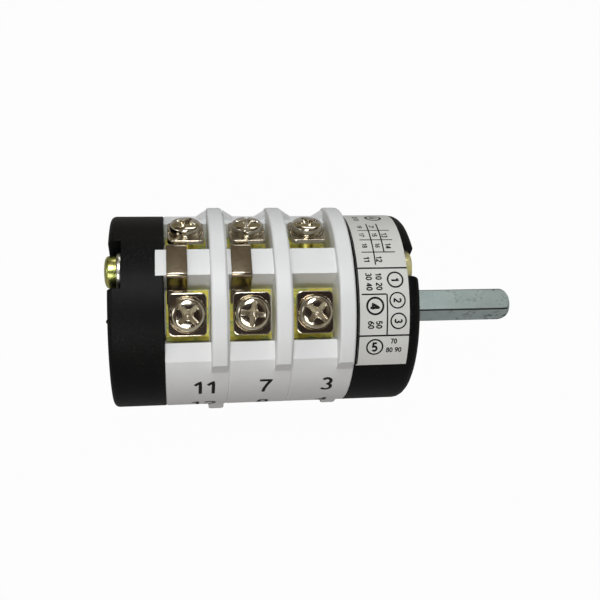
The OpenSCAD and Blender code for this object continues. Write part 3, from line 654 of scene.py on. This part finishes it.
def strip_shell(path, x, width, thick, edge=0.14):
    """A rounded rectangle carried along a path in the Y-Z plane, closed at both ends. The
    rectangle's short side follows the path's normal and its long side is X."""
    run = np.gradient(path, axis=0)
    run /= np.linalg.norm(run, axis=1)[:, None]
    normal = np.stack([-run[:, 1], run[:, 0]], 1)
    a = np.radians([0, 30, 60, 90])
    ring = []
    for cx, cn, start in ((1, 1, 0), (-1, 1, 90), (-1, -1, 180), (1, -1, 270)):
        b = a + math.radians(start)
        ring.append(np.stack([(width / 2 - edge) * cx + edge * np.cos(b),
                              (thick / 2 - edge) * cn + edge * np.sin(b)], 1))
    ring = np.concatenate(ring)
    points = np.empty((len(path), len(ring), 3))
    points[..., 0] = x + width / 2 + ring[:, 0]
    points[..., 1] = path[:, :1] + normal[:, :1] * ring[:, 1]
    points[..., 2] = path[:, 1:] + normal[:, 1:] * ring[:, 1]
    faces = grid_faces(len(path), len(ring)).tolist()
    faces.append(list(range(len(ring))))
    faces.append([(len(path) - 1) * len(ring) + k for k in range(len(ring))][::-1])
    return points, faces


# The foot lies on the tilted face from its end to the bend below the upright leg
foot_z = (strip_foot_d - strip_side * math.sin(tilt)) / math.cos(tilt)
foot_end = (strip_reach * math.cos(tilt) + strip_foot_d * math.sin(tilt),
            strip_foot_d * math.cos(tilt) - strip_reach * math.sin(tilt))
for number, stage in ((1, 2), (2, 3)):
    corners = [(-foot_end[0], foot_end[1]), (-strip_side, foot_z), (-strip_side, strip_top),
               (strip_side, strip_top), (strip_side, foot_z), foot_end]
    path = bent_path(corners, (foot_bend, top_bend, top_bend, foot_bend))
    shell = strip_shell(path, stage_start[stage] + strip_start, strip_w, strip_t)
    add_piece(f"jumper_strip_{number}", [shell], strip_nickel,
              replaces=[f"jumper_{number}"])


# Through-bolts, washers and nuts
# Two long M4 pan-head screws of yellow-passivated steel clamp the stack, one above and one
# below the shaft, with a flat washer at the rear and a chamfered nut in a notch at the front.
yellow_zinc = Finish("yellow_zinc", Metallic=1.0)
bolt_film = yellow_zinc.cloud(2.4, 3.0)
bolt_tone = yellow_zinc.mix(bolt_film.ramp(0.40, 0.58), (0.56, 0.52, 0.19), (0.45, 0.51, 0.15))
bolt_tone = yellow_zinc.mix(bolt_film.ramp(0.60, 0.74), bolt_tone, (0.68, 0.52, 0.30))
yellow_zinc.feed(Base_Color=bolt_tone, Roughness=0.20 + yellow_zinc.cloud(0.5, 3.0) * 0.16,
                 Normal=yellow_zinc.bump(bolt_film, 0.010))
washer_h = 0.9
bolt_seat_x, bolt_tip_x = -66.1, -1.45
bolt_head_x = bolt_seat_x - washer_h
bolt_head_r, bolt_head_h, bolt_r = 3.55, 2.8, 2.0
thread_start_x, thread_pitch = -8.6, 0.7
thread_r, thread_depth = bolt_r - 0.02, 0.34
nut_flat, nut_back_x, nut_front_x = 7.0, -3.7, -1.4
bolt_axes = [np.array([0.0, 0.0, z]) for z in (18.3, -18.3)]


def thread_shell(x_low, x_high, radius, depth, pitch, around=40, per_turn=8):
    """A threaded cylinder along X: radius minus depth times a triangle wave of
    x / pitch - angle, fading out at both ends."""
    x = np.linspace(x_low, x_high, int((x_high - x_low) / pitch * per_turn) + 1)[:, None]
    a = np.linspace(0, 2 * math.pi, around, endpoint=False)[None]
    phase = (x / pitch - a / (2 * math.pi)) % 1.0
    wave = np.abs(phase * 2 - 1)
    fade = np.clip(np.minimum(x - x_low, x_high - x) / pitch, 0, 1)
    r = radius - depth * (wave * fade + (1 - fade) * 0.9)
    return np.stack([x + 0 * a, r * np.cos(a), r * np.sin(a)], -1), grid_faces(len(x), around)


def end_disc(x, radius, around=40):
    """A flat disc across X, to close the end of a round piece."""
    a = np.linspace(0, 2 * math.pi, around, endpoint=False)
    points = np.stack([np.stack([np.full(around, x), r * np.cos(a), r * np.sin(a)], 1)
                       for r in (radius, 0.0)])
    return points, grid_faces(2, around)


def nut_shell(around=120):
    """A hexagon nut along X: the flats are at half the width over cos of the angle to the
    nearest flat, cut back by a chamfer cone at both faces, with a smooth bore."""
    a = np.linspace(0, 2 * math.pi, around, endpoint=False)
    hexagon = nut_flat / 2 / np.cos((a + math.pi / 6) % (math.pi / 3) - math.pi / 6)
    chamfer, thick = nut_flat / 2 * 1.02, nut_front_x - nut_back_x
    outside = [(0.0, chamfer - 0.3), (0.0, chamfer), (0.18, chamfer + 0.31), (0.38, 9.0)]
    inside = [(0.28, bolt_r + 0.04), (0.0, bolt_r + 0.30)]
    front = [(thick - x, limit) for x, limit in outside[::-1] + inside[::-1]]
    rows = np.array(outside + front + inside)
    r = np.minimum(hexagon, rows[:, 1:])
    points = np.stack([nut_back_x + rows[:, :1] + 0 * a, r * np.cos(a), r * np.sin(a)], -1)
    return points, grid_faces(len(rows), around, loop=True)


bolt_shells = []
stem_l = thread_start_x - bolt_head_x
for axis, turn in zip(bolt_axes, (18, 62)):
    head_place = axis + (bolt_head_x, 0, 0)
    head, faces = pan_screw(bolt_head_r, bolt_head_h, None, (bolt_r, 0.2), math.radians(turn))
    bolt_shells.append((along_x(head, head_place, -1), faces))
    stem, faces = lathe([(0.0, 0.0), (bolt_r, 0.0), (bolt_r, stem_l - 0.4),
                         (bolt_r - 0.2, stem_l)], 40)
    bolt_shells.append((along_x(stem, head_place), faces))
    for points, faces in (
            thread_shell(thread_start_x, bolt_tip_x, thread_r, thread_depth, thread_pitch),
            end_disc(bolt_tip_x, thread_r - thread_depth * 0.9)):
        bolt_shells.append((points + axis, faces))
add_piece("long_bolts", bolt_shells, yellow_zinc.material,
          replaces=["through_bolts"])

nut_zinc = Finish("nut_zinc", Metallic=0.85)
nut_film = nut_zinc.cloud(1.6, 3.0)
nut_tone = nut_zinc.mix(nut_film.ramp(0.40, 0.62), (0.86, 0.80, 0.46), (0.70, 0.66, 0.30))
nut_zinc.feed(Base_Color=nut_tone, Roughness=0.38 + nut_film * 0.16,
              Normal=nut_zinc.bump(nut_film, 0.010))
nut_points, nut_faces = nut_shell()
add_piece("hexagon_nuts", [(nut_points + axis, nut_faces) for axis in bolt_axes],
          nut_zinc.material, replaces=["bolt_nuts"])

washer_zinc = Finish("zinc_washer", Metallic=1.0)
washer_film = washer_zinc.cloud(1.4, 3.0)
washer_zinc.feed(Base_Color=washer_zinc.mix(washer_film, (0.66, 0.67, 0.62), (0.80, 0.80, 0.76)),
                 Roughness=0.24 + washer_film * 0.14)
washer_out, washer_in = 4.2, 2.1
washer_side = [(washer_in, 0.1), (washer_in + 0.1, 0.0), (washer_out - 0.18, 0.0),
               (washer_out - 0.05, 0.06), (washer_out, 0.2)]
washer_points, washer_faces = lathe(
    washer_side + [(r, washer_h - z) for r, z in washer_side[::-1]], loop=True)
add_piece("flat_washers", [(along_x(washer_points, axis + (bolt_seat_x, 0, 0), -1), washer_faces)
                           for axis in bolt_axes],
          washer_zinc.material, replaces=["bolt_washers"])


# Mounting inserts
# Four brass inserts, knurled where the plastic grips them, are pressed hot into the front cap
# and take the screws from the panel. Their M4 thread shows in the bore.
brass = Finish("insert_brass", Metallic=1.0)
brass_film = brass.cloud(1.2, 3.0)
brass.feed(Base_Color=brass.mix(brass_film, (0.62, 0.44, 0.16), (0.72, 0.56, 0.26)),
           Roughness=0.24 + brass_film * 0.16)
insert_r, insert_l, insert_pcd_r = 2.8, 5.0, 17.0
insert_root_r, insert_thread, insert_lip = 1.90, 0.24, 0.2
insert_rows = [(insert_root_r, -insert_l), (insert_r, -insert_l), (insert_r, -0.12),
               (insert_r - 0.12, 0.0), (insert_root_r + 0.17, 0.0), (insert_root_r, -insert_lip)]
insert_sleeve, sleeve_faces = lathe(insert_rows, 72)
insert_bore, bore_faces = thread_shell(
    -insert_l, -insert_lip, insert_root_r, insert_thread, thread_pitch, 48)
insert_shells = []
for angle in np.radians([45, 135, 225, 315]):
    centre = (0, insert_pcd_r * math.cos(angle), insert_pcd_r * math.sin(angle))
    insert_shells.append((along_x(insert_sleeve, centre), sleeve_faces))
    insert_shells.append((insert_bore + centre, bore_faces[:, ::-1]))
add_piece("brass_inserts", insert_shells, brass.material,
          replaces=["threaded_inserts"])


# Rating label
# A strip of matt white film is stuck round the front cap and ruled in black into cells, with
# plain circles and figures in them.
film = Finish("label_film", IOR=1.46)
film_cloud = film.cloud(5.0, 3.0)
film.feed(Base_Color=film.mix(film_cloud, (0.645, 0.645, 0.615), (0.71, 0.71, 0.675)),
          Roughness=0.40 + film_cloud * 0.14)
dress(["rating_label"], film.material)
print_r = 22.635
label_x = (-14.6, -3.0)
# The line along the rear edge: its place, the angle at which it ends on either side, its width
label_edge_x, label_edge_a, label_edge_w = -14.46, 63.0, 0.28


def ruled_line(x, angles, width):
    """A line on the label between two corners, as a strip of small quads: along X if the two
    angles are alike, and round the cap if the two X are alike. Angles are in degrees."""
    steps = 90
    k = np.linspace(0, 1, steps)
    xs = x[0] + (x[1] - x[0]) * k
    ups = np.radians(angles[0] + (angles[1] - angles[0]) * k)
    offset = np.array([-width / 2, width / 2])
    if x[0] != x[1]:
        xx = np.stack([xs, xs], 1)
        aa = ups[:, None] + offset[None] / print_r
    else:
        xx = xs[:, None] + offset[None]
        aa = np.stack([ups, ups], 1)
    points = np.stack([xx, -print_r * np.sin(aa), print_r * np.cos(aa)], -1)
    return points, grid_faces(steps, 2, round_=False)


def ring_mark(x, angle, radius, width):
    """A plain ring printed on the label about a point."""
    a = np.linspace(0, 2 * math.pi, 56, endpoint=False)
    flat = np.stack([np.stack([r * np.cos(a), r * np.sin(a)], 1)
                     for r in (radius - width / 2, radius + width / 2)]).reshape(-1, 2)
    flat = np.concatenate([flat, np.zeros((len(flat), 1))], 1)
    return on_barrel(flat, x, math.radians(angle), print_r), grid_faces(2, 56)


line_w = 0.38
marks = [
    ruled_line((label_edge_x, label_edge_x), (-label_edge_a, label_edge_a), label_edge_w),
    ruled_line(label_x, (5.9, 5.9), line_w), ruled_line(label_x, (44.9, 44.9), line_w),
    ruled_line((-13.85, -8.25), (21.3, 21.3), line_w * 0.85),
    ruled_line((-8.1, -8.1), (21.3, 44.9), line_w * 0.85),
    ruled_line((-10.1, -10.1), (-31.0, 3.8), line_w * 0.8),
    ruled_line((-7.7, -7.7), (-31.0, -4.75), line_w * 0.8),
    ruled_line((-12.7, -5.2), (-23.1, -23.1), line_w * 0.7),
    ruled_line((-12.8, -5.1), (-14.2, -14.2), line_w * 0.7),
    ruled_line((-12.9, -5.1), (-4.75, -4.75), line_w * 0.7)]

ring_bold, figure_stroke = 1.15, 0.215
for x, angle, radius, width in (
        (-6.0, 13.0, 1.72, 0.34), (-5.75, 24.9, 1.72, 0.28), (-5.55, 36.6, 1.72, 0.30),
        (-10.86, 27.9, 1.84, 0.40), (-10.72, 51.8, 1.80, 0.32), (-7.5, -41.1, 1.75, 0.46)):
    marks.append(ring_mark(x, angle, radius, width * ring_bold))
along_words = ("5", "70", "80 90")
for word, x, angle, height, bold in (
        ("1", -6.0, 13.0, 1.7, 0.03), ("2", -5.75, 24.9, 1.7, 0.0), ("3", -5.55, 36.6, 1.7, 0.01),
        ("4", -10.86, 27.9, 2.2, 0.03), ("5", -10.72, 51.8, 2.1, 0.01),
        ("6", -7.5, -41.1, 1.7, 0.03),
        ("10 20", -9.75, 14.0, 1.35, 0.0), ("30 40", -12.0, 14.0, 1.35, 0.0),
        ("50", -9.95, 38.6, 1.35, 0.0), ("60", -11.8, 38.6, 1.35, 0.0),
        ("70", -6.4, 48.4, 1.15, 0.0), ("80 90", -6.3, 53.8, 1.15, 0.0),
        ("11", -11.95, 0.2, 1.3, 0.01), ("12", -9.15, 0.2, 1.3, 0.01),
        ("13", -6.7, -18.2, 1.3, 0.01), ("14", -6.4, -9.2, 1.3, 0.01),
        ("15", -9.0, -18.6, 1.1, 0.0), ("16", -8.9, -9.6, 1.1, 0.0),
        ("17", -12.0, -18.6, 1.1, 0.0), ("18", -11.9, -9.6, 1.1, 0.0),
        ("19", -11.9, -27.2, 1.1, 0.0), ("21", -9.0, -27.2, 1.1, 0.0),
        ("22 23", -11.8, -40.0, 1.1, 0.0)):
    points, faces = figure(word, height, figure_stroke + bold)
    turned = 0.0 if word in along_words else -math.pi / 2
    marks.append((on_barrel(points, x, math.radians(angle), print_r, turned), faces))
add_piece("label_printing", marks, ink.material)


# Square shaft
# A drawn 6 mm square bar of blue-passivated steel runs through the cams, and the rim of its
# free end is rounded on a lathe. Dark marks lie on it, and a nearly black line runs along
# each of its edges.
shaft_zinc = Finish("zinc_shaft", Metallic=0.85)
shaft_cloud = shaft_zinc.cloud(3.0, 4.0, stretch=(0.5, 1, 1))
shaft_fine = shaft_zinc.cloud(0.5, 4.0, 0.7)
shaft_spot = (shaft_zinc.cloud(1.9, 6.0, 0.8).ramp(0.51, 0.60)
              * shaft_zinc.cloud(4.2, 2.0).ramp(0.42, 0.56))
shaft_parts = shaft_zinc.node("SeparateXYZ", None, {0: shaft_zinc.spot()}).socket.node
shaft_x, shaft_y, shaft_z = (Wire(shaft_zinc, part) for part in shaft_parts.outputs)
shaft_edge = abs(abs(shaft_y) - abs(shaft_z))
# A nearly black line along each of the four edges
shaft_line = (1.0 - shaft_edge.ramp(0.20, 0.42)) * (abs(shaft_y).most(abs(shaft_z)) > 2.5)
shaft_tone = shaft_zinc.mix(shaft_cloud, (0.45, 0.555, 0.555), (0.585, 0.695, 0.69))
shaft_tone = shaft_zinc.mix(shaft_spot * (shaft_x.ramp(11.0, 19.0) * 0.88 + 0.12), shaft_tone,
                            (0.11, 0.12, 0.12))
shaft_tone = shaft_zinc.mix(shaft_line * 0.94, shaft_tone, (0.008, 0.010, 0.010))
shaft_zinc.feed(Base_Color=shaft_tone,
                Roughness=0.40 + shaft_cloud * 0.12 + shaft_spot * 0.2,
                Normal=shaft_zinc.bump(shaft_fine + shaft_cloud, 0.018))
dress(["shaft"], shaft_zinc.material)


# Parts inside the barrel
# The retaining ring and the leaf springs are spring steel, the cams and the detent wheel are
# moulded in nylon, the plungers in acetal, and the bridges are copper. They are slid on the
# shaft or dropped into the caps and stages before the bolts close the stack.
def inner_finish(name, low, high, metallic, rough, size):
    """A plain inner part: two close tones in clouds of that size, with roughness to match."""
    made = Finish(name, Metallic=metallic)
    film = made.cloud(size, 3.0)
    skin = made.node("Bevel", {"samples": 4}, {"Radius": 0.10 * MM})
    return made.feed(Base_Color=made.mix(film, low, high), Roughness=rough + film * 0.15,
                     Normal=made.bump(film, 0.008, skin))


spring_steel = inner_finish("spring_steel", (0.44, 0.45, 0.47), (0.56, 0.57, 0.59), 1.0, 0.22, 1.5)
for names, finish in (
        (["leaf_spring_1", "leaf_spring_2"], spring_steel),
        (["retaining_ring"],
         inner_finish("ring_steel", (0.20, 0.21, 0.22), (0.30, 0.31, 0.32), 1.0, 0.30, 1.5)),
        (["cam_1", "cam_2", "cam_3"],
         inner_finish("cam_plastic", (0.70, 0.26, 0.04), (0.78, 0.33, 0.06), 0.0, 0.40, 3.0)),
        (["detent_rotor"],
         inner_finish("rotor_plastic", (0.05, 0.11, 0.24), (0.08, 0.15, 0.30), 0.0, 0.42, 3.0)),
        ([f"plunger_{n}" for n in range(1, 7)],
         inner_finish("plunger_plastic", (0.70, 0.66, 0.52), (0.78, 0.74, 0.60), 0.0, 0.40, 3.0)),
        ([f"bridge_{n}" for n in range(1, 7)],
         inner_finish("contact_copper", (0.60, 0.26, 0.13), (0.74, 0.36, 0.20), 1.0, 0.26, 2.0))):
    dress(names, finish)


# Contact springs
# Six coils of spring wire stand between the bridges and the wall of the stage. They are wound
# closer towards both ends, and each is pressed together as its contact is lifted.
wire_d, coil_turns, coil_close = 0.4, 2.5, 0.7


def coil_spring(low, high, around=10, per_turn=28):
    """A round wire along a helix about Y: (r cos a, y, r sin a), where y rises with
    t - close * sin(2 pi t) / (2 pi) over t from 0 to 1. A flat face closes each end."""
    middle = (low + high) / 2
    reach = (high[0] - low[0] - wire_d) / 2
    t = np.linspace(0, 1, int(coil_turns * per_turn) + 1)[:, None]
    a = 2 * math.pi * coil_turns * t
    b = np.linspace(0, 2 * math.pi, around, endpoint=False)[None]
    rise = (high[1] - low[1] - wire_d) * (t - coil_close * np.sin(2 * math.pi * t) / (2 * math.pi))
    r = reach + wire_d / 2 * np.cos(b)
    points = np.stack([middle[0] + r * np.cos(a), low[1] + wire_d / 2 * (1 + np.sin(b)) + rise,
                       middle[2] + r * np.sin(a)], -1)
    faces = grid_faces(len(t), around).tolist()
    faces += [list(range(around)), [len(t) * around - 1 - k for k in range(around)]]
    return points, faces


# An odd spring stands against the wall on the +Y side and an even one on the -Y side
for number in range(1, 7):
    low, high = (np.array(corner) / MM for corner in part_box(f"contact_spring_{number}"))
    coil = add_piece(f"coil_spring_{number}", [coil_spring(low, high)], spring_steel,
                     replaces=[f"contact_spring_{number}"])
    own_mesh(coil)
